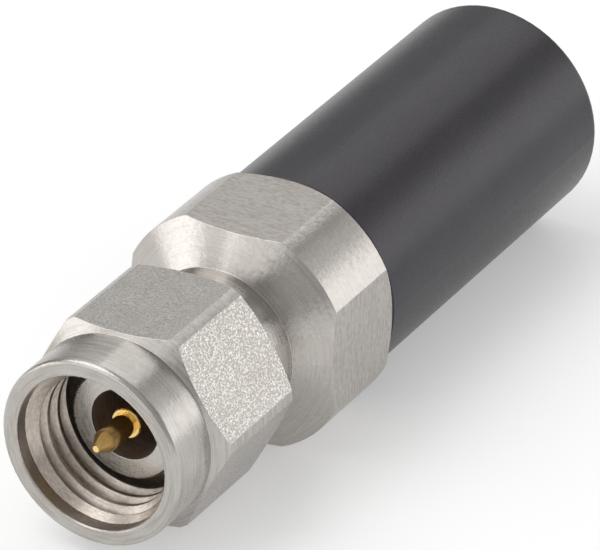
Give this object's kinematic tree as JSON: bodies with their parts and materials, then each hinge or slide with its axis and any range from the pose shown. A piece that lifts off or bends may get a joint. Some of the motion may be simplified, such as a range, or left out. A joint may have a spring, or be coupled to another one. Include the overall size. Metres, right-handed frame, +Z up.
{
  "type": "coaxial mismatch termination",
  "caption": "Coaxial mismatch termination: line plug with a turning coupling nut, steel body with spanner flats and a closed black sleeve over its resistor.",
  "frame": {"origin": "centre of the mating plane, the front face of the outer conductor", "axes": "+Y along the connector axis towards the closed end of the sleeve, so the plug faces -Y; +Z up with one spanner flat of the body facing up"},
  "size_m": [0.0092, 0.0314, 0.0092],
  "materials": {
    "nut_steel": "turned stainless steel, flats blasted",
    "spring_bronze": "plain spring bronze",
    "barrel_steel": "fine turned stainless steel",
    "body_steel": "turned stainless steel, flats milled across",
    "gold_plate": "polished gold plate",
    "bead_plastic": "natural bead plastic",
    "rod_ceramic": "white ceramic with a thin resistive film",
    "liner_brass": "bored brass",
    "plug_steel": "turned steel",
    "black_anodised": "matte black anodised aluminium"
  },
  "bodies": {
    "body": {"plug_barrel": "barrel_steel", "main_body": "body_steel", "contact_pin": "gold_plate", "support_bead": "bead_plastic", "rear_conductor": "gold_plate", "resistor_rod": "rod_ceramic", "taper_liner": "liner_brass", "ground_collet": "gold_plate", "end_plug": "plug_steel", "sleeve": "black_anodised"},
    "ring": {"retaining_ring": "spring_bronze"},
    "nut": {"coupling_nut": "nut_steel"}
  },
  "joints": [
    {"name": "nut_float", "type": "slide", "parent": "body", "child": "ring", "axis": [0, 1, 0], "range_m": [-0.0001, 0.0001]},
    {"name": "nut_spin", "type": "hinge", "parent": "ring", "child": "nut", "pos_m": [0, 0.00352, 0], "axis": [0, 1, 0], "continuous": true}
  ]
}
